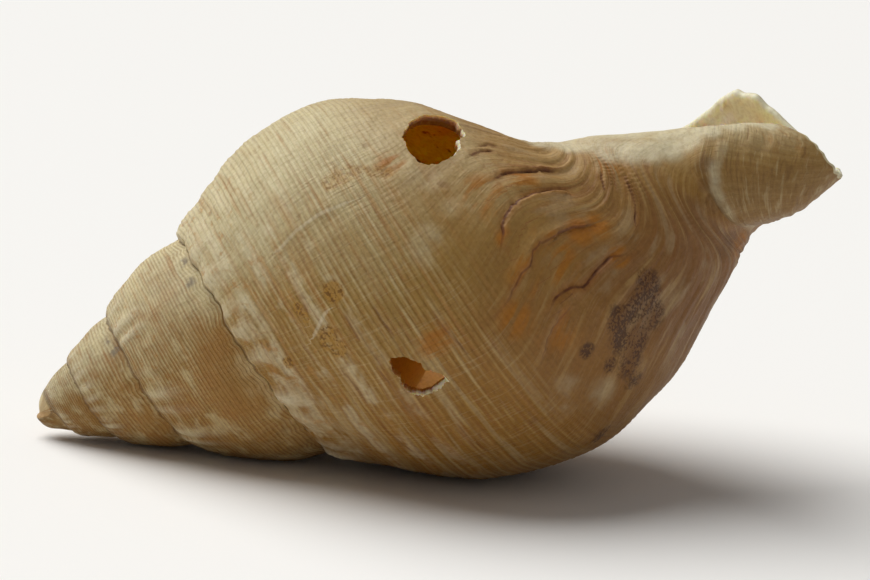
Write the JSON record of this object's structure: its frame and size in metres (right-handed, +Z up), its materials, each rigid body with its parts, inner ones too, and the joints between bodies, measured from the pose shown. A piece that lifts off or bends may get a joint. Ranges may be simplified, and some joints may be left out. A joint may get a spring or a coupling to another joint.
{
  "type": "sea snail shell",
  "caption": "Right-handed spiral sea snail shell, hollow, with an open aperture, a short canal notch and two worn-through holes.",
  "frame": {"origin": "centre of the bounding box in X and Y, on the plane that the shell rests on", "axes": "+Z up with the shell lying at rest, +X along its length from the spire's tip towards the canal, -Y towards the side that the picture shows; the coiling axis rises from the tip towards the canal"},
  "size_m": [0.083, 0.0498, 0.0415],
  "materials": {
    "shell": "dry weathered calcium carbonate, matt to satin, cream and tan bands over a brown base"
  },
  "bodies": {
    "root": {"shell": "shell"}
  },
  "joints": []
}
